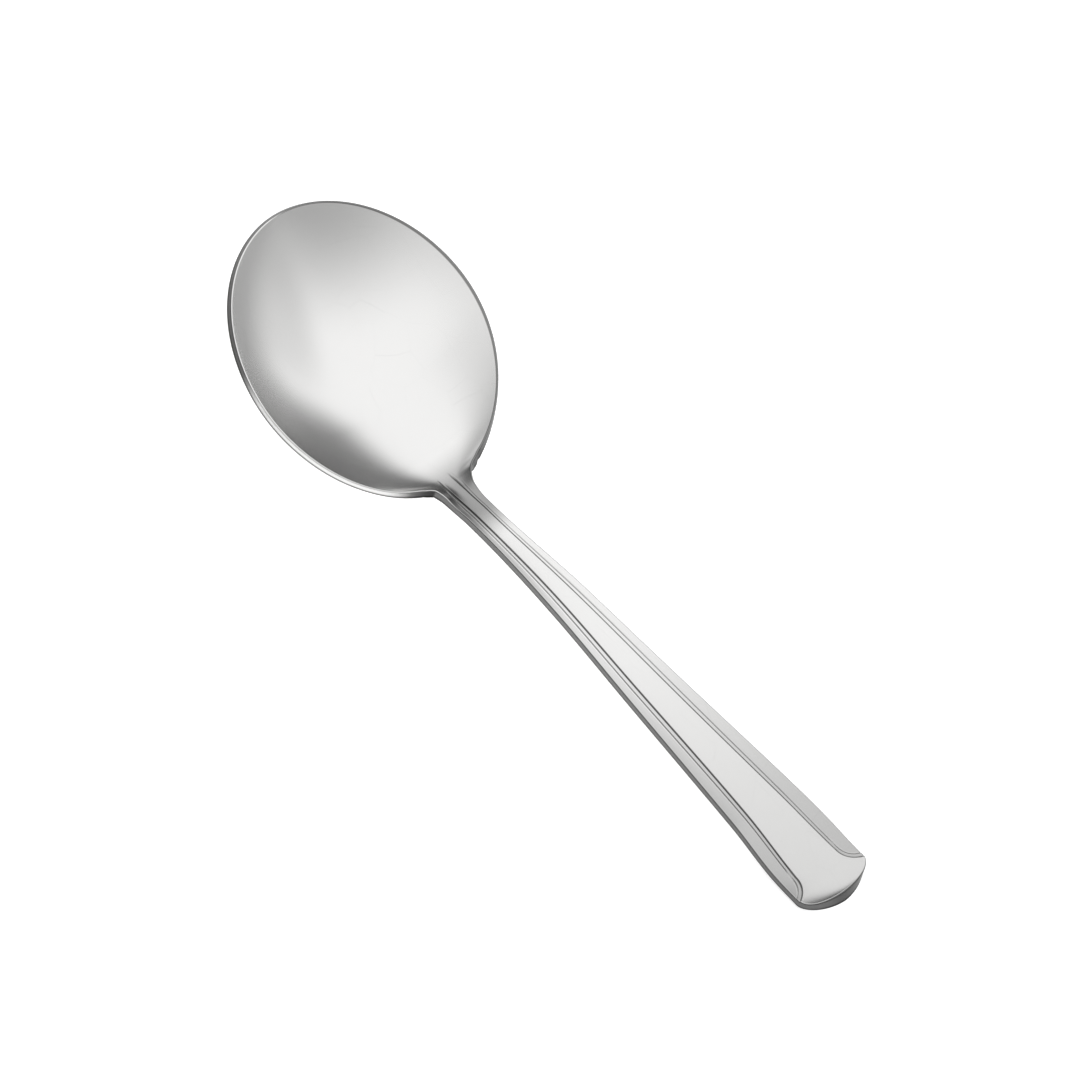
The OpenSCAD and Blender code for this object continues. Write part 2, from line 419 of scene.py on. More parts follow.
    def edge_height(self, s: np.ndarray) -> np.ndarray:
        """Follows the top face along its edge, which is the bowl's rim and then the handle's edge.

        Args:
            s: The stations.

        Returns:
            The height at each station.
        """
        bowl = self.bowl
        t = s / bowl.length
        peak = bowl.bow_power ** (-1 / (bowl.bow_power - 1))
        bow = (t - np.abs(t) ** bowl.bow_power) / (peak - peak**bowl.bow_power)
        rim = mix(bowl.tip_height, bowl.heel_height, t) + bowl.rim_bow * bow
        past = self.handle_start + self.neck.from_heel
        return np.where(s > past, self.floor_height(s), greater(rim, self.floor_height(s), self.neck.metal))

    @staticmethod
    def hollow(t: np.ndarray, steepness: float) -> np.ndarray:
        """Returns the rise of a hollow from its floor to its edge, with its steepness there."""
        return mix(t * t, t**4, steepness / 2 - 1)

    def height(self, s: np.ndarray, u: np.ndarray) -> np.ndarray:
        """Returns the height of the plain top face at a share u of the half width."""
        middle = self.middle_height(s)
        return mix(middle, self.edge_height(s), self.hollow(np.abs(u), self.bowl.section_steepness))

    def dish(self, s: np.ndarray, u: np.ndarray) -> np.ndarray:
        """Returns how far the handle's top face is dished."""
        share = self.half_width(s) / (self.end.width / 2)
        return self.handle.dish * share * (1 - u * u) * self.handled(s)

    def square_to(self, s: np.ndarray, u: np.ndarray) -> np.ndarray:
        """Finds the direction square to the plain top face.

        Args:
            s: The stations.
            u: The shares of the half width.

        Returns:
            The directions, at length 1.
        """
        half = self.half_width(s)
        widening = (self.half_width(s + SLOPE_STEP) - self.half_width(s - SLOPE_STEP)) / (2 * SLOPE_STEP)
        along = (self.height(s + SLOPE_STEP, u) - self.height(s - SLOPE_STEP, u)) / (2 * SLOPE_STEP)
        across = (self.height(s, u + SLOPE_STEP) - self.height(s, u - SLOPE_STEP)) / (2 * SLOPE_STEP)
        return unit(np.stack([u * widening * across - along * half, -across, half], -1))

    def outward(self, s: np.ndarray) -> np.ndarray:
        """Finds the way out of the outline, seen from above, on the side of +Y.

        Args:
            s: The stations.

        Returns:
            The directions along X and Y, at length 1.
        """
        step = SLOPE_STEP
        low, high = np.maximum(s - step, 0), np.minimum(s + step, self.end_station)
        run = unit(np.stack([high - low, self.half_width(high) - self.half_width(low)], -1))
        return np.stack([-run[..., 1], run[..., 0]], -1)

    def line_distance(
        self, s: np.ndarray, y: np.ndarray, offset: np.ndarray, closing: ClosingCurve
    ) -> np.ndarray:
        """Returns how far outside a panel line a place lies, less than 0 on the centre panel's side.

        Args:
            s: The stations.
            y: The distances from the middle line.
            offset: How far outside the centre panel's edge the line runs.
            closing: The quarter oval of the line's end.

        Returns:
            The distances, in millimetres.
        """
        start = self.closing_start - closing.early
        half = self.panel_halves(s) + offset
        straight = y - half
        centre = self.panel_halves(start) + self.strip_at(start, closing) + closing.spread
        along = (s - start) / closing.reach
        across = (centre - y) / closing.spread
        size = np.maximum(np.hypot(along, across), SMALLEST_SIZE)
        steepness = np.hypot(along / closing.reach, across / closing.spread) / size
        return np.where(s < start, straight, (1 - size) / np.maximum(steepness, SMALLEST_SIZE))

    def strip_at(self, s: float, closing: ClosingCurve) -> float:
        """Returns the offset of a line from the centre panel's edge at one station."""
        return float(self.strips(s)) if closing is OUTER_CLOSING else 0.0

    def relief(self, s: np.ndarray, y: np.ndarray) -> tuple[np.ndarray, np.ndarray, np.ndarray, np.ndarray]:
        """Works out the coined panel's relief above the plain face.

        Args:
            s: The stations.
            y: The distances from the middle line.

        Returns:
            The relief in millimetres, and the marks of the grooves, the lips and the side panels.
        """
        panel = self.panel
        begun = ease((s - panel.start) / panel.start_length)
        outer_begun = begun * mix(
            panel.outer_start_share, 1, ease((s - panel.outer_start) / panel.outer_start_length)
        )
        inner = self.line_distance(s, y, 0.0, INNER_CLOSING)
        outer = self.line_distance(s, y, self.strips(s), OUTER_CLOSING)
        rise = panel.rise * self.handled(s)
        drop = panel.inner_drop_share
        past_inner, past_outer = beyond(inner, panel.step_width), beyond(outer, panel.step_width)
        height = rise * (1 - drop * past_inner) - rise * (1 - drop) * past_outer
        grooves = panel.inner_groove * hill(inner, panel.groove_half) * begun
        grooves = grooves + panel.outer_groove * hill(outer, panel.groove_half) * outer_begun
        # The lips are raised in the shape; this mark also gives them a painted highlight.
        lips = hill(outer - panel.lip_offset, panel.lip_half) * outer_begun
        # The groove mark gives the grooves painted shade in the colour, as well as their cut and roughness.
        dark = hill(inner, panel.groove_half) * begun
        outer_dark = hill(outer, panel.groove_half * panel.outer_mark_share) * outer_begun
        dark = np.maximum(dark, panel.outer_mark * outer_dark)
        # Marks the side panels for their painted shade.
        sides = past_inner * self.handled(s)
        return height - grooves + panel.lip * lips, dark, lips, sides


@dataclass(frozen=True)
class SkinCounts:
    """How many rows and lanes the skin is made of."""

    tip_rows: int = 64
    rear_rows: int = 76
    neck_rows: int = 44
    handle_rows: int = 190
    closing_rows: int = 52
    end_rows: int = 40
    middle_lanes: int = 12
    line_lanes: int = 34
    side_lanes: int = 12
    corner_lanes: int = 5
    cut_lanes: int = 4
    under_lanes: int = 30

    @property
    def top_lanes(self) -> int:
        """Returns the number of lanes across half of the top face."""
        return self.middle_lanes + self.line_lanes + self.side_lanes

    @property
    def half_ring(self) -> int:
        """Returns the number of lanes from the top's middle line round to the underside's."""
        return self.top_lanes + 2 * self.corner_lanes + self.cut_lanes + self.under_lanes


class Stretch(Enum):
    """The stretches of the skin, in order from the bowl's tip."""

    BOWL = 0
    NECK = 1
    HANDLE = 2
    HANDLE_END = 3


@dataclass(frozen=True)
class Masks:
    """Names of the marks on the skin that the finishes read."""

    # The cut mark carries the cut edge's roughness and speckle, and painted shade on most of it.
    cut: str = "cut_edge"
    # The rim and under marks carry painted dark lines along the edges' corners, and a painted highlight on
    # one rim.
    rim: str = "rim_line"
    under: str = "under_line"
    shank: str = "shank"
    # Painted highlight on the cut edge along part of the bowl's rim.
    painted_light_rim: str = "painted_light_rim"
    # Painted shade on the top face in the neck's bend.
    crook_painted_shade: str = "crook_painted_shade"
    # Painted shade that darkens the steel towards the handle's end.
    held: str = "held"
    # Painted shade on the side panels.
    side_panel: str = "side_panel"
    # Painted shade in the coined grooves, which are also rougher.
    groove: str = "groove"
    # Painted highlight on the small lips beside the grooves.
    lip: str = "lip"


@dataclass(frozen=True)
class Change:
    """A gentle change of painted shade and highlights along the spoon, in millimetres from the bowl's tip."""

    start: float
    length: float

    def __call__(self, s: np.ndarray) -> np.ndarray:
        """Returns how far each station is through the change."""
        return ease((s - self.start) / self.length)


@dataclass(frozen=True)
class Tones:
    """Where the painted shade and highlights on the steel change along the spoon."""

    # The stretch of the bowl's rim whose cut edge gets a painted highlight in place of painted shade.
    rim_painted_light_starts: Change = Change(start=18, length=8)
    rim_painted_light_ends: Change = Change(start=48, length=4)
    # The stretch of the neck's bend that gets painted shade.
    crook_painted_shade_starts: Change = Change(start=46, length=8)
    crook_painted_shade_ends: Change = Change(start=59, length=7)
    # Painted shade that deepens towards the handle's end.
    held: Change = Change(start=78, length=76)


MASKS = Masks()
FORM_NORMAL = "form_normal"


class BlankSkin:
    """The closed skin of the whole blank, which the pieces are cut from."""

    line_margin = 0.42
    spread_before = 2.2
    lane_power = 1.4
    rim_lanes = 3
    fade_lanes = 2
    under_fade_lanes = 1.5

    def __init__(self, form: SpoonForm, counts: SkinCounts) -> None:
        """Lays the skin over the form.

        Args:
            form: The spoon's form.
            counts: The numbers of rows and lanes.
        """
        self.form, self.counts, self.tones = form, counts, Tones()
        self.stations = self.row_stations()
        self.points, self.marks = self.half_rings()
        self.mesh = self.closed_skin()

    def row_stations(self) -> np.ndarray:
        """Lays out the rows, closer together where the outline turns.

        Returns:
            The rows' stations.
        """
        form, counts = self.form, self.counts
        bowl = form.bowl
        tip = bowl.widest * (1 - np.cos(np.linspace(0, math.pi / 2, counts.tip_rows + 1)))
        rear = bowl.widest + (form.neck_start - bowl.widest) * np.sin(
            np.linspace(0, math.pi / 2, counts.rear_rows + 1)
        ) ** bowl.row_power
        neck = np.linspace(form.neck_start, form.handle_start, counts.neck_rows + 1)
        shank_end = form.closing_start
        shank = np.linspace(form.handle_start, shank_end, counts.handle_rows + 1)
        closing = np.linspace(shank_end, form.curve_start, counts.closing_rows + 1)
        end = form.curve_start + form.end.curve * np.sin(np.linspace(0, math.pi / 2, counts.end_rows + 1))
        parts = [tip, rear[1:], neck[1:], shank[1:], closing[1:], end[1:]]
        return np.concatenate(parts)

    def top_shares(self, s: np.ndarray, face_half: np.ndarray) -> np.ndarray:
        """Lays out the lanes, which follow the panel's lines on the handle.

        Args:
            s: The rows' stations.
            face_half: The top face's half width in each row.

        Returns:
            Each lane's share of the face's half width, row by row.
        """
        form, counts = self.form, self.counts
        k = np.linspace(0, 1, counts.top_lanes + 1)[None, :]
        bowl_lanes = 1 - (1 - k) ** self.lane_power
        width = np.maximum(face_half, SMALLEST_SIZE)[:, None]
        limit = form.panel.face_limit_share
        inner = np.minimum(form.panel_halves(s) - self.line_margin, face_half * limit)[:, None]
        outer = (form.panel_halves(s) + form.strips(s) + self.line_margin)[:, None]
        outer = np.minimum(outer, width * limit)
        middle = inner * np.linspace(0, 1, counts.middle_lanes + 1)[None, :-1]
        lines = mix(inner, outer, np.linspace(0, 1, counts.line_lanes + 1)[None, :-1])
        outside = 1 - (1 - np.linspace(0, 1, counts.side_lanes + 1)[None, :]) ** self.lane_power
        straight = np.concatenate([middle, lines, mix(outer, width, outside)], axis=1)
        open_lanes = counts.line_lanes + counts.side_lanes
        spread_lanes = mix(inner, width, np.linspace(0, 1, open_lanes + 1)[None, :])
        spread = np.concatenate([middle, spread_lanes], axis=1)
        opening = ease((s - form.closing_start + self.spread_before) / self.spread_before)[:, None]
        handle_lanes = mix(straight, spread, opening) / width
        return mix(bowl_lanes, handle_lanes, form.handled(s)[:, None])

    def half_rings(self) -> tuple[np.ndarray, dict[str, np.ndarray]]:
        """Lays half rings round the metal, on the side of +Y.

        Returns:
            The skin's points, row by row, and its marks, by name.
        """
        form, counts = self.form, self.counts
        s = self.stations
        corner = form.end.corner
        out = form.outward(s)
        face_s = s - corner * out[:, 0]
        face_half = np.maximum(form.half_width(s) - corner * out[:, 1], 0)
        face_half[[0, -1]] = 0
        y = self.top_shares(s, face_half) * face_half[:, None]
        rows = np.broadcast_to(face_s[:, None], y.shape)
        half = np.maximum(form.half_width(face_s), SMALLEST_SIZE)[:, None]
        u = clamp(y / half)
        plain = np.stack([rows, y, form.height(rows, u)], -1)
        relief, dark, lips, sides = form.relief(rows, y)
        back = form.end.slope * clamp((s - form.curve_start) / form.end.curve) ** 2
        top = plain.copy()
        top[..., 0] -= back[:, None]
        top[..., 2] += relief - form.dish(rows, u)
        under = self.underside(rows, u)
        band = self.cut_band(top[:, -1], under[:, 0], form.square_to(rows[:, -1], u[:, -1]))
        ring = np.concatenate([top, band, under[:, 1:]], axis=1)
        on_top = {MASKS.groove: dark, MASKS.lip: lips, MASKS.side_panel: sides}
        marks = self.ring_marks(ring.shape[:2], on_top)
        return ring, marks

    def underside(self, rows: np.ndarray, u: np.ndarray) -> np.ndarray:
        """Lays out the underside, one metal's thickness from the plain top face.

        Args:
            rows: The station of each point of the top face.
            u: Each point's share of the half width.

        Returns:
            The underside's points from the edge to the middle line, row by row.
        """
        form, counts = self.form, self.counts
        lanes = np.linspace(1, 0, counts.under_lanes + 1) ** (1 / self.lane_power)
        edge = u[:, -1:]
        under_u = edge * lanes[None, :]
        under_s = np.broadcast_to(rows[:, -1:], under_u.shape)
        half = form.half_width(under_s)
        top = np.stack([under_s, under_u * half, form.height(under_s, under_u)], -1)
        metal = form.metal(under_s)[..., None]
        formed = top - form.square_to(under_s, under_u) * metal
        flat = top - np.array([0.0, 0.0, 1.0]) * metal
        found = mix(formed, flat, form.plain_below(under_s)[..., None])
        found[[0, -1], :, 1] = 0
        found[:, -1, 1] = 0
        return found

    def cut_band(self, top_edge: np.ndarray, under_edge: np.ndarray, square: np.ndarray) -> np.ndarray:
        """Returns the points of the cut edge with its two rounded corners.

        Args:
            top_edge: The last point of the top face in each row.
            under_edge: The first point of the underside in each row.
            square: The direction square to the plain face in each row.

        Returns:
            The points between the top face and the underside, the latter's first one included.
        """
        counts, corner = self.counts, self.form.end.corner
        undercut = self.form.end.undercut
        mirrored = top_edge[1] * [1, -1, 1], top_edge[-2] * [1, -1, 1]
        longer = np.concatenate([mirrored[0][None], top_edge, mirrored[1][None]])
        along = unit(longer[2:] - longer[:-2])
        out = unit(np.cross(square, along))
        out[[0, -1], 1] = 0
        top_corner = top_edge + out * corner
        under_corner = under_edge + out * (corner - undercut)
        down = unit(under_corner - top_corner)
        first = self.rounded(top_edge, top_corner, top_corner + down * corner, counts.corner_lanes)
        last = self.rounded(under_corner - down * corner, under_corner, under_edge, counts.corner_lanes)
        shares = np.linspace(0, 1, counts.cut_lanes + 1)[None, 1:-1, None]
        flat = mix(first[:, -1:], last[:, :1], shares)
        return np.concatenate([first[:, 1:], flat, last], axis=1)

    @staticmethod
    def rounded(start: np.ndarray, corner: np.ndarray, finish: np.ndarray, lanes: int) -> np.ndarray:
        """Rounds a corner between two sides.

        Args:
            start: Where the round starts, in each row.
            corner: The sharp corner.
            finish: Where the round ends.
            lanes: The number of steps round the corner.

        Returns:
            The points of the round, both ends included.
        """
        before, after = unit(corner - start), unit(finish - corner)
        turn = np.clip((before * after).sum(-1), -1, 1)
        weight = np.sqrt((1 + turn) / 2)[:, None, None]
        t = np.linspace(0, 1, lanes + 1)[None, :, None]
        a, b, c = (1 - t) ** 2, 2 * t * (1 - t) * weight, t**2
        blend = a * start[:, None] + b * corner[:, None] + c * finish[:, None]
        return blend / (a + b + c)

    def ring_marks(self, shape: tuple[int, int], on_top: dict[str, np.ndarray]) -> dict[str, np.ndarray]:
        """Returns the marks for the finishes at each point of the half rings.

        Args:
            shape: The numbers of rows and of points in a half ring.
            on_top: The marks on the top face, by name.

        Returns:
            All marks, by name.
        """
        counts = self.counts
        lane = np.arange(shape[1])
        top, corner = counts.top_lanes, counts.corner_lanes
        cut_start, cut_end = top + corner, top + corner + counts.cut_lanes
        cut = ((lane >= cut_start - 1) & (lane <= cut_end + 1)).astype(float)
        rim = np.maximum(1 - np.abs(lane - top - corner / 2) / (corner / 2), 0)
        fade = self.fade_lanes
        # In the bowl the rim mark spreads onto the last lanes of the top face, which widens the painted line
        # along the rim.
        bowl_rim = clamp(lane - top + self.rim_lanes) * clamp((top + corner - lane) / fade)
        under = clamp((lane - cut_end + 1) / self.under_fade_lanes)
        under = under * clamp((cut_end + corner + fade - lane) / fade)
        s, tones = self.stations, self.tones
        shank = ease((s - self.form.neck_start) / self.form.neck.from_heel)
        # Painted highlight on the cut edge along part of the bowl's rim.
        painted_light_rim = tones.rim_painted_light_starts(s) * (1 - tones.rim_painted_light_ends(s))
        # Painted shade in the neck's bend.
        crook_painted_shade = tones.crook_painted_shade_starts(s) * (1 - tones.crook_painted_shade_ends(s))
        marks = {
            MASKS.cut: cut,
            MASKS.rim: mix(np.maximum(rim, bowl_rim)[None, :], rim[None, :], shank[:, None]),
            MASKS.under: under,
            MASKS.shank: shank[:, None],
            MASKS.painted_light_rim: painted_light_rim[:, None],
            MASKS.crook_painted_shade: np.where(lane <= top, crook_painted_shade[:, None], 0.0),
            # Painted shade towards the handle's end.
            MASKS.held: tones.held(s)[:, None],
        }
        marks = {name: np.broadcast_to(mark, shape) for name, mark in marks.items()}
        for name, mark in on_top.items():
            marks[name] = np.zeros(shape)
            marks[name][:, : top + 1] = mark
        return marks

    def closed_skin(self) -> bmesh.types.BMesh:
        """Shapes a grid into half of the skin, mirrors it and closes it.

        Returns:
            The skin, with its marks and the normals for its reflections.
        """
        rows, lanes = len(self.stations) - 1, self.counts.half_ring
        mesh = bmesh.new()
        bmesh.ops.create_grid(mesh, x_segments=rows, y_segments=lanes, size=GRID_HALF)
        station_mark = mesh.verts.layers.float.new("station")
        inside_mark = mesh.verts.layers.float.new("inside")
        inside = self.inside_shares()
        layers = {name: mesh.verts.layers.float.new(name) for name in self.marks}
        for vert in mesh.verts:
            i, j = round((vert.co.x + GRID_HALF) * rows), round((vert.co.y + GRID_HALF) * lanes)
            x, y, z = self.points[i, j]
            vert[station_mark] = self.stations[i]
            vert[inside_mark] = inside[i, j]
            for name, layer in layers.items():
                vert[layer] = self.marks[name][i, j]
            vert.co = Vector((x + self.form.origin, y, z)) * MM
        for vert in mesh.verts:
            if abs(vert.co.y) < MERGE_DISTANCE:
                vert.co.y = 0
        half = mesh.verts[:] + mesh.edges[:] + mesh.faces[:]
        bmesh.ops.mirror(mesh, geom=half, matrix=Matrix.Identity(4), axis="Y", merge_dist=0)
        bmesh.ops.remove_doubles(mesh, verts=mesh.verts[:], dist=MERGE_DISTANCE)
        bmesh.ops.dissolve_degenerate(mesh, edges=mesh.edges[:], dist=MERGE_DISTANCE)
        bmesh.ops.recalc_face_normals(mesh, faces=mesh.faces[:])
        mesh.normal_update()
        normals = mesh.verts.layers.float_vector.new(FORM_NORMAL)
        for vert in mesh.verts:
            vert[normals] = self.mirrored_normal(vert.normal, vert[inside_mark])
        return mesh

    def inside_shares(self) -> np.ndarray:
        """Finds the points of the bowl's inside, where reflections show less depth.

        Returns:
            How far each point of the half rings belongs to it.
        """
        inside = np.zeros(self.points.shape[:2])
        inside[:, : self.counts.top_lanes + 1] = 1 - self.form.handled(self.stations)[:, None]
        return inside

    def mirrored_normal(self, normal: Vector, inside: float) -> Vector:
        """Turns a normal so that reflections show the bowl's inside less deep than it is.

        Args:
            normal: The skin's own normal.
            inside: How far the point belongs to the bowl's inside.

        Returns:
            The normal for the reflections.
        """
        if inside == 0 or normal.z < MERGE_DISTANCE:
            return normal
        bowl = self.form.bowl
        share = 1 - inside * (1 - bowl.mirrored_depth_share)
        rim_slope = (bowl.heel_height - bowl.tip_height) / bowl.length
        slope_x, slope_y = -normal.x / normal.z, -normal.y / normal.z
        return Vector((-mix(rim_slope, slope_x, share), -slope_y * share, 1)).normalized()

    def piece(self, stretch: Stretch) -> bpy.types.Mesh:
        """Cuts one stretch out of the skin and closes its seams.

        Args:
            stretch: The stretch that the piece is made of.

        Returns:
            The piece's mesh, smooth across its seams.
        """
        form = self.form
        limits = [0.0, form.neck_start, form.handle_start, form.closing_start, form.end_station]
        low, high = limits[stretch.value], limits[stretch.value + 1]
        cut = self.mesh.copy()
        station = cut.verts.layers.float["station"]
        outside = [
            face for face in cut.faces
            if not low < sum(vert[station] for vert in face.verts) / len(face.verts) < high
        ]
        bmesh.ops.delete(cut, geom=outside, context="FACES")
        seams = [edge for edge in cut.edges if edge.is_boundary]
        skin_faces = len(cut.faces)
        caps = bmesh.ops.holes_fill(cut, edges=seams, sides=0)["faces"]
        bmesh.ops.triangulate(cut, faces=caps)
        bmesh.ops.recalc_face_normals(cut, faces=cut.faces[:])
        for face in cut.faces:
            face.smooth = True
        made = bpy.data.meshes.new(stretch.name.lower())
        cut.to_mesh(made)
        cut.free()
        self.shade(made, skin_faces)
        return made

    @staticmethod
    def shade(made: bpy.types.Mesh, skin_faces: int) -> None:
        """Gives the skin's stored normals to a piece, so that its seams don't show.

        Args:
            made: The piece's mesh.
            skin_faces: The number of its faces that come from the skin, which are its first ones.
        """
        stored = made.attributes[FORM_NORMAL]
        normals = np.zeros(len(made.vertices) * 3, np.float32)
        stored.data.foreach_get("vector", normals)
        normals = normals.reshape(-1, 3)
        by_corner = []
        for polygon in made.polygons:
            on_skin = polygon.index < skin_faces
            for corner in polygon.loop_indices:
                vertex = made.loops[corner].vertex_index
                by_corner.append(normals[vertex] if on_skin else polygon.normal)
        made.attributes.remove(stored)
        made.attributes.remove(made.attributes["station"])
        made.attributes.remove(made.attributes["inside"])
        made.normals_split_custom_set([tuple(normal) for normal in by_corner])


class Socket:
    """A shader socket that can be used in sums, which add the nodes that work them out."""

    def __init__(self, graph: "Graph", socket: bpy.types.NodeSocket) -> None:
        """Wraps an output socket of the graph."""
        self.graph, self.socket = graph, socket

    def __add__(self, other: "Socket | float") -> "Socket":
        """Returns self + other."""
        return self.graph.math("ADD", self, other)

    def __sub__(self, other: "Socket | float") -> "Socket":
        """Returns self - other."""
        return self.graph.math("SUBTRACT", self, other)

    def __mul__(self, other: "Socket | float") -> "Socket":
        """Returns self * other."""
        return self.graph.math("MULTIPLY", self, other)

    def __rsub__(self, other: float) -> "Socket":
        """Returns other - self."""
        return self.graph.math("SUBTRACT", other, self)

    __radd__ = __add__
    __rmul__ = __mul__


class Graph:
    """A node tree that is built by calls."""

    def __init__(self, tree: bpy.types.NodeTree) -> None:
        """Empties the tree."""
        self.tree = tree
        tree.nodes.clear()

    def node(self, kind: str, settings: dict | None = None, inputs: dict | None = None) -> bpy.types.Node:
        """Adds a node.

        Args:
            kind: The node's type.
            settings: Its settings, set first. A ramp's stops are pairs of place and grey.
            inputs: The values or links of its sockets, by name or number.

        Returns:
            The node.
        """
        made = self.tree.nodes.new(kind)
        for name, value in (settings or {}).items():
            if name == "stops":
                self.set_stops(made.color_ramp, value)
            else:
                setattr(made, name, value)
        for name, value in (inputs or {}).items():
            if isinstance(value, Socket):
                self.tree.links.new(value.socket, made.inputs[name])
            else:
                made.inputs[name].default_value = value
        return made

    @staticmethod
    def set_stops(ramp: bpy.types.ColorRamp, stops: Sequence[tuple[float, float]]) -> None:
        """Sets a ramp's stops to greys.

        Args:
            ramp: The ramp.
            stops: Pairs of place and grey.
        """
        for _ in range(len(stops) - len(ramp.elements)):
            ramp.elements.new(1.0)
        for element, (place, grey) in zip(ramp.elements, stops):
            element.position = place
            element.color = (grey, grey, grey, 1)

    def value(
        self, kind: str, settings: dict | None = None, inputs: dict | None = None, output: str | int = 0
    ) -> Socket:
        """Adds a node and returns one of its outputs."""
        return Socket(self, self.node(kind, settings, inputs).outputs[output])

    def math(self, operation: str, *terms: "Socket | float") -> Socket:
        """Adds a Math node and returns its value."""
        return self.value("ShaderNodeMath", {"operation": operation}, dict(enumerate(terms)))

    def mark(self, name: str) -> Socket:
        """Returns a mark of the skin."""
        return self.value("ShaderNodeAttribute", {"attribute_name": name}, output="Fac")

    def object_place(self, scale: Sequence[float]) -> Socket:
        """Returns Object coordinates, scaled."""
        place = self.value("ShaderNodeTexCoord", output="Object")
        return self.value("ShaderNodeMapping", None, {"Vector": place, "Scale": tuple(scale)})

    def eased(self, level: Socket, start: float, finish: float) -> Socket:
        """Eases a level between two limits.

        Args:
            level: The level.
            start: Where the result is 0.
            finish: Where it is 1.

        Returns:
            The result, from 0 to 1.
        """
        limits = {"From Min": start, "From Max": finish, "To Min": 0.0, "To Max": 1.0}
        inputs = {"Value": level, **limits}
        return self.value("ShaderNodeMapRange", {"interpolation_type": "SMOOTHSTEP"}, inputs)

    def noise(self, place: Socket, scale: float, detail: float = 2.0, roughness: float = 0.5) -> Socket:
        """Returns noise from 0 to 1, about 0.5."""
        inputs = {"Vector": place, "Scale": scale, "Detail": detail, "Roughness": roughness}
        return self.value("ShaderNodeTexNoise", None, inputs, "Fac")

    def grey(self, level: Socket, tint: Sequence[float]) -> Socket:
        """Returns a colour that is the tint times the level."""
        ends = {6: (0, 0, 0, 1), 7: (*tint, 1)}
        return self.value("ShaderNodeMix", {"data_type": "RGBA"}, {"Factor": level, **ends}, 2)


def new_material(name: str) -> tuple[bpy.types.Material, Graph]:
    """Makes a material with no nodes yet.

    Args:
        name: The material's name.

    Returns:
        The material and the graph of its nodes.
    """
    made = bpy.data.materials.new(name)
    made.use_nodes = True
    return made, Graph(made.node_tree)


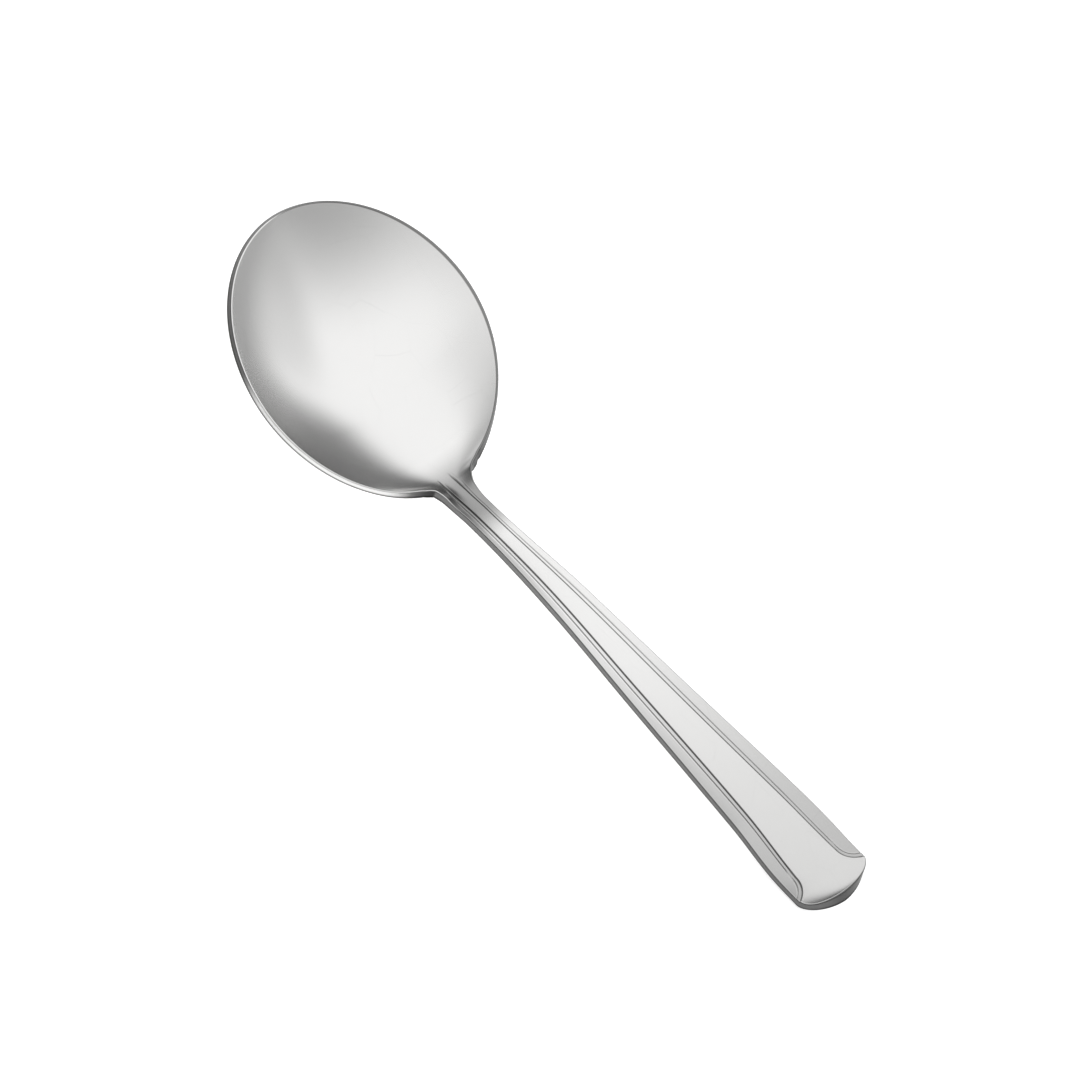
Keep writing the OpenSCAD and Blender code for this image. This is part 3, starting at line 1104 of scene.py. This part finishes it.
@dataclass(frozen=True)
class SatinSteel:
    """Satin stainless steel, tumbled after it was blanked, formed and coined, with painted shade and
    highlights in its colour.
    """

    name: str
    tint: tuple[float, float, float] = (0.82, 0.817, 0.81)
    roughness: float = 0.2
    cloud_mm: float = 13.0
    cloud_strength: float = 0.05
    cloud_rough_share: float = 0.6
    grain_mm: tuple[float, float, float] = (0.17, 0.17, 0.17)
    grain_strength: float = 0.05
    grain_depth_mm: float = 0.0035
    scratch_strength: float = 0.03
    scratch_gap_mm: float = 7.0
    scratch_line: float = 0.012
    speck_mm: float = 0.35
    cut_speckle: float = 0.25
    cut_roughness: float = 0.36
    cut_relief: float = 4.0
    # The levels below paint shade and highlights into the steel's colour: on the cut edge and its corners, in
    # the neck's bend, towards the handle's end and on the side panels.
    light_rim_cut_painted_level: float = 1.0
    rim_top_painted_highlight: float = 1.2
    rim_under_painted_shade: float = 0.2
    far_rim_painted_shade: float = 0.3
    shank_cut_painted_shade: float = 0.2
    shank_top_painted_shade: float = 0.1
    shank_under_painted_shade: float = 0.12
    crook_painted_shade_level: float = 0.42
    end_painted_shade: float = 0.78
    side_panel_painted_shade: float = 0.74
    # How far from the middle line the painted rim highlight gives way to the painted dark line.
    painted_light_side_mm: float = 4.0
    # Painted shade in the grooves.
    groove_painted_shade: float = 0.28
    groove_roughness: float = 0.45
    # Painted highlight on the lips.
    lip_painted_highlight: float = 0.15

    def material(self) -> bpy.types.Material:
        """Builds the finish from fine patterns and from the marks of the skin, which carry painted shade and
        highlights.

        Returns:
            The material.
        """
        made, graph = new_material(self.name)
        cut, groove, lip = graph.mark(MASKS.cut), graph.mark(MASKS.groove), graph.mark(MASKS.lip)
        place = graph.object_place((1, 1, 1))
        cloud = graph.noise(place, 1 / (self.cloud_mm * MM), detail=3.0) - 0.5
        grain_place = graph.object_place([1 / (size * MM) for size in self.grain_mm])
        grain = graph.noise(grain_place, 1.0, roughness=0.6) - 0.5
        scratch = self.scratches(graph)
        speck = graph.noise(place, 1 / (self.speck_mm * MM), roughness=0.7) - 0.5
        level = 1 + cloud * self.cloud_strength + grain * self.grain_strength
        # The lips are raised in the shape, and get a painted highlight in the colour too.
        level = level - scratch * self.scratch_strength + lip * self.lip_painted_highlight
        level = level * self.painted_light_level(graph) * (1 + cut * speck * self.cut_speckle)
        # The grooves are cut in the shape, and get painted shade in the colour too.
        level = level * (1 - groove * (1 - self.groove_painted_shade))
        cloud_rough = self.cloud_strength * self.cloud_rough_share
        rough = self.roughness + cloud * cloud_rough + grain * self.grain_strength
        rough = rough + cut * (self.cut_roughness - self.roughness)
        rough = rough + groove * (self.groove_roughness - self.roughness)
        relief = grain + cut * speck * self.cut_relief
        bump = graph.value(
            "ShaderNodeBump",
            None,
            {"Height": relief, "Strength": 1.0, "Distance": self.grain_depth_mm * MM},
            "Normal",
        )
        shader = graph.value(
            "ShaderNodeBsdfPrincipled",
            None,
            {"Base Color": graph.grey(level, self.tint), "Metallic": 1.0, "Roughness": rough, "Normal": bump},
        )
        graph.node("ShaderNodeOutputMaterial", None, {"Surface": shader})
        return made

    def painted_light_level(self, graph: Graph) -> Socket:
        """Works out the painted shade and highlights along the edges, in the neck's bend, towards the
        handle's end and on the side panels.

        Args:
            graph: The material's graph.

        Returns:
            The level that the steel's colour is multiplied by.
        """
        shank = graph.mark(MASKS.shank)
        painted_lighter = self.painted_light_side(graph)
        painted_light_rim = graph.mark(MASKS.painted_light_rim) * painted_lighter
        # Painted highlight on the rim on the side of -Y, painted dark line on the other rim.
        top_shade = self.far_rim_painted_shade + painted_lighter * (self.rim_top_painted_highlight - self.far_rim_painted_shade)
        cut_shade = self.shank_cut_painted_shade + painted_light_rim * (self.light_rim_cut_painted_level - self.shank_cut_painted_shade)
        # Painted shade on the cut edge, but for a painted highlight along part of the bowl's rim.
        level = 1 + graph.mark(MASKS.cut) * (cut_shade - 1)
        # Painted shade in the neck's bend.
        level = level * (1 - graph.mark(MASKS.crook_painted_shade) * (1 - self.crook_painted_shade_level))
        # Painted shade towards the handle's end.
        level = level * (1 - graph.mark(MASKS.held) * (1 - self.end_painted_shade))
        # Painted shade on the side panels, deeper towards the handle's end.
        sides = graph.mark(MASKS.side_panel) * graph.mark(MASKS.held)
        level = level * (1 - sides * (1 - self.side_panel_painted_shade))
        # Painted dark lines along the corners of the edge, and the painted rim line from above.
        for mark, rim_shade, shank_shade in (
            (MASKS.rim, top_shade, self.shank_top_painted_shade),
            (MASKS.under, self.rim_under_painted_shade, self.shank_under_painted_shade),
        ):
            shade = 1 + graph.mark(mark) * ((rim_shade - 1) * (1 - shank) + shank * (shank_shade - 1))
            level = level * shade
        return level

    def painted_light_side(self, graph: Graph) -> Socket:
        """Returns 1 on the side of -Y, whose rim gets a painted highlight, and 0 on the other side, whose rim
        gets a painted dark line.
        """
        side = graph.value("ShaderNodeSeparateXYZ", None, {0: graph.object_place((1, 1, 1))}, "Y")
        return graph.eased(side, self.painted_light_side_mm * MM, -self.painted_light_side_mm * MM)

    def scratches(self, graph: Graph) -> Socket:
        """Draws a few fine hairlines on the steel.

        Args:
            graph: The material's graph.

        Returns:
            The mask, 1 in a hairline.
        """
        scale = 1 / (self.scratch_gap_mm * MM)
        inputs = {"Vector": graph.object_place((1, 1, 1)), "Scale": scale, "Randomness": 1.0}
        crack = graph.value("ShaderNodeTexVoronoi", {"feature": "DISTANCE_TO_EDGE"}, inputs, "Distance")
        stops = [(0.0, 1.0), (self.scratch_line, 0.0)]
        return graph.value("ShaderNodeValToRGB", {"stops": stops}, {"Fac": crack})


def direction_at(azimuth: float, elevation: float) -> Vector:
    """Returns the direction at two angles in degrees: from +X towards +Y, and up."""
    turn, rise = math.radians(azimuth), math.radians(elevation)
    return Vector((math.cos(turn) * math.cos(rise), math.sin(turn) * math.cos(rise), math.sin(rise)))


@dataclass(frozen=True)
class Patch:
    """A round patch where the tent is dimmer, with its angles in degrees."""

    azimuth: float
    elevation: float
    inner: float
    outer: float
    gain: float

    @property
    def direction(self) -> Vector:
        """Returns the direction of the patch's middle."""
        return direction_at(self.azimuth, self.elevation)


@dataclass(frozen=True)
class Tent:
    """The light tent: a white dome that dims towards the table and in a few round patches."""

    radius: float = 3.0
    skirt_share: float = 0.02
    segments: int = 64
    rings: int = 32
    zenith_level: float = 1.09
    band_level: float = 0.2
    band_bottom: float = 0.0
    band_top: float = 0.36
    patches: tuple[Patch, ...] = (
        Patch(azimuth=-95, elevation=-15, inner=70, outer=93, gain=-0.55),
        Patch(azimuth=118, elevation=9, inner=20, outer=37, gain=-0.82),
        Patch(azimuth=-140, elevation=50, inner=0, outer=38, gain=-0.6),
        Patch(azimuth=-10, elevation=-10, inner=25, outer=85, gain=-0.7),
        Patch(azimuth=60, elevation=25, inner=5, outer=25, gain=-0.25),
    )

    def build(self) -> bpy.types.Object:
        """Builds the dome with its glow pointing inwards.

        Returns:
            The dome, which lights the spoon and isn't seen by the camera.
        """
        mesh = bmesh.new()
        bmesh.ops.create_uvsphere(mesh, u_segments=self.segments, v_segments=self.rings, radius=self.radius)
        bmesh.ops.bisect_plane(
            mesh,
            geom=mesh.verts[:] + mesh.edges[:] + mesh.faces[:],
            plane_co=(0, 0, -self.radius * self.skirt_share),
            plane_no=(0, 0, -1),
            clear_outer=True,
        )
        bmesh.ops.reverse_faces(mesh, faces=mesh.faces[:])
        made = stage_object("light_tent", mesh, self.glow())
        made.visible_camera = False
        made.visible_shadow = False
        return made

    def glow(self) -> bpy.types.Material:
        """Works the dome's light out of the direction of each place on it.

        Returns:
            The dome's material.
        """
        made, graph = new_material("tent_glow")
        object_place = graph.value("ShaderNodeTexCoord", output="Object")
        place = graph.value("ShaderNodeVectorMath", {"operation": "NORMALIZE"}, {0: object_place}, "Vector")
        height = graph.value("ShaderNodeSeparateXYZ", None, {0: place}, "Z")
        band = graph.eased(height, self.band_bottom, self.band_top)
        level = self.band_level + band * (self.zenith_level - self.band_level)
        for patch in self.patches:
            ends = {0: place, 1: patch.direction}
            nearness = graph.value("ShaderNodeVectorMath", {"operation": "DOT_PRODUCT"}, ends, "Value")
            outer, inner = math.cos(math.radians(patch.outer)), math.cos(math.radians(patch.inner))
            level = level * (1 + graph.eased(nearness, outer, inner) * patch.gain)
        light = graph.value("ShaderNodeEmission", None, {"Color": (1, 1, 1, 1), "Strength": level})
        graph.node("ShaderNodeOutputMaterial", None, {"Surface": light})
        return made


@dataclass(frozen=True)
class Table:
    """The pale round table that the spoon lies on."""

    radius: float = 3.0
    segments: int = 96
    colour: tuple[float, float, float] = (0.86, 0.86, 0.86)
    lift: float = 0.68

    def build(self) -> bpy.types.Object:
        """Builds the table top at the height of the spoon's lowest point.

        Returns:
            The table top.
        """
        mesh = bmesh.new()
        bmesh.ops.create_circle(mesh, cap_ends=True, segments=self.segments, radius=self.radius)
        bmesh.ops.translate(mesh, verts=mesh.verts[:], vec=(0, 0, CAD_BOX[0].z))
        return stage_object("table_top", mesh, self.surface())

    def surface(self) -> bpy.types.Material:
        """Makes a pale surface that looks white and keeps the spoon's soft shadow.

        Returns:
            The table's material.
        """
        made, graph = new_material("white_table")
        rays = graph.node("ShaderNodeLightPath")
        seen = Socket(graph, rays.outputs["Is Camera Ray"]) + Socket(graph, rays.outputs["Is Glossy Ray"])
        seen = graph.math("MINIMUM", seen + Socket(graph, rays.outputs["Is Transmission Ray"]), 1.0)
        matt = graph.value("ShaderNodeBsdfDiffuse", None, {"Color": (*self.colour, 1)})
        lift = graph.value("ShaderNodeEmission", None, {"Color": (1, 1, 1, 1), "Strength": seen * self.lift})
        both = graph.value("ShaderNodeAddShader", None, {0: matt, 1: lift})
        graph.node("ShaderNodeOutputMaterial", None, {"Surface": both})
        return made


@dataclass(frozen=True)
class CameraPlace:
    """The camera's place, which gives the photograph's view, in degrees and millimetres."""

    azimuth: float = -66.84
    elevation: float = 52.86
    roll: float = 27.07
    target: tuple[float, float, float] = (-4.67, 0.95, 8.02)
    distance: float = 2500.0
    lens: float = 485.4
    sensor: float = 36.0
    nearest: float = 100.0
    farthest: float = 20000.0

    def build(self) -> bpy.types.Object:
        """Builds the camera and makes it the scene's.

        Returns:
            The camera.
        """
        data = bpy.data.cameras.new("camera")
        data.lens, data.sensor_width = self.lens, self.sensor
        data.clip_start, data.clip_end = self.nearest * MM, self.farthest * MM
        made = bpy.data.objects.new("camera", data)
        bpy.context.scene.collection.objects.link(made)
        back, roll = direction_at(self.azimuth, self.elevation), math.radians(self.roll)
        level = Vector((0, 0, 1)).cross(back).normalized()
        upright = back.cross(level)
        right = level * math.cos(roll) + upright * math.sin(roll)
        turned = Matrix((right, back.cross(right), back)).transposed().to_4x4()
        made.matrix_world = Matrix.Translation((Vector(self.target) + back * self.distance) * MM) @ turned
        bpy.context.scene.camera = made
        return made


def stage_object(name: str, mesh: bmesh.types.BMesh, material: bpy.types.Material) -> bpy.types.Object:
    """Makes a piece of the studio, which isn't part of the spoon.

    Args:
        name: The piece's name.
        mesh: Its shape, which is used up.
        material: Its finish.

    Returns:
        The piece.
    """
    data = bpy.data.meshes.new(name)
    mesh.to_mesh(data)
    mesh.free()
    data.materials.append(material)
    made = bpy.data.objects.new(name, data)
    bpy.context.scene.collection.objects.link(made)
    return made


class Studio:
    """The table, the light tent, the world and the camera."""

    def __init__(self) -> None:
        """Sets the studio's pieces to their usual sizes."""
        self.table, self.tent, self.camera = Table(), Tent(), CameraPlace()

    def build(self) -> None:
        """Builds the studio."""
        self.camera.build()
        self.table.build()
        self.tent.build()
        world = bpy.data.worlds.new("white_room")
        world.use_nodes = True
        graph = Graph(world.node_tree)
        light = graph.value("ShaderNodeBackground", None, {"Color": (1, 1, 1, 1), "Strength": 1.0})
        graph.node("ShaderNodeOutputWorld", None, {"Surface": light})
        bpy.context.scene.world = world
        bpy.context.scene.view_settings.view_transform = "Standard"


class SpoonPiece:
    """One stretch of the spoon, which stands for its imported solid."""

    stretch: Stretch
    slot: str
    finish: SatinSteel

    def build(self, skin: BlankSkin) -> bpy.types.Object:
        """Cuts the piece from the skin, dresses it and fits it to the frame.

        Args:
            skin: The skin of the whole blank.

        Returns:
            The piece.
        """
        node = self.stretch.name.lower()
        mesh = skin.piece(self.stretch)
        mesh.materials.append(self.finish.material())
        made = bpy.data.objects.new(f"{node}_steel", mesh)
        bpy.context.scene.collection.objects.link(made)
        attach(made, "root")
        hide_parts(node)
        return made


class Bowl(SpoonPiece):
    """The drawn bowl with its tumbled rim."""

    stretch, slot = Stretch.BOWL, "bowl_steel"
    finish = SatinSteel("bowl_satin")


class Neck(SpoonPiece):
    """The neck with its fillets."""

    stretch, slot = Stretch.NECK, "neck_steel"
    finish = SatinSteel("neck_satin")


class Handle(SpoonPiece):
    """The coined handle with its centre panel."""

    stretch, slot = Stretch.HANDLE, "handle_steel"
    finish = SatinSteel("handle_satin", grain_mm=(1.2, 0.14, 0.14))


class HandleEnd(SpoonPiece):
    """The end of the handle, where the side panels close."""

    stretch, slot = Stretch.HANDLE_END, "end_steel"
    finish = SatinSteel("end_satin", grain_mm=(1.2, 0.14, 0.14))


def report(pieces: Iterable[bpy.types.Object]) -> None:
    """Logs the size of each piece.

    Args:
        pieces: The spoon's pieces.
    """
    for piece in pieces:
        size = ", ".join(f"{side / MM:.1f}" for side in piece.dimensions)
        LOG.info("%s: %d faces, %s mm", piece.name, len(piece.data.polygons), size)


def main() -> None:
    """Builds the studio and the spoon."""
    logging.basicConfig(level=logging.INFO, format="%(name)s: %(message)s")
    Studio().build()
    skin = BlankSkin(SpoonForm(), SkinCounts())
    pieces = [maker().build(skin) for maker in (Bowl, Neck, Handle, HandleEnd)]
    bpy.context.view_layer.update()
    report(pieces)


if __name__ == "__main__":
    main()
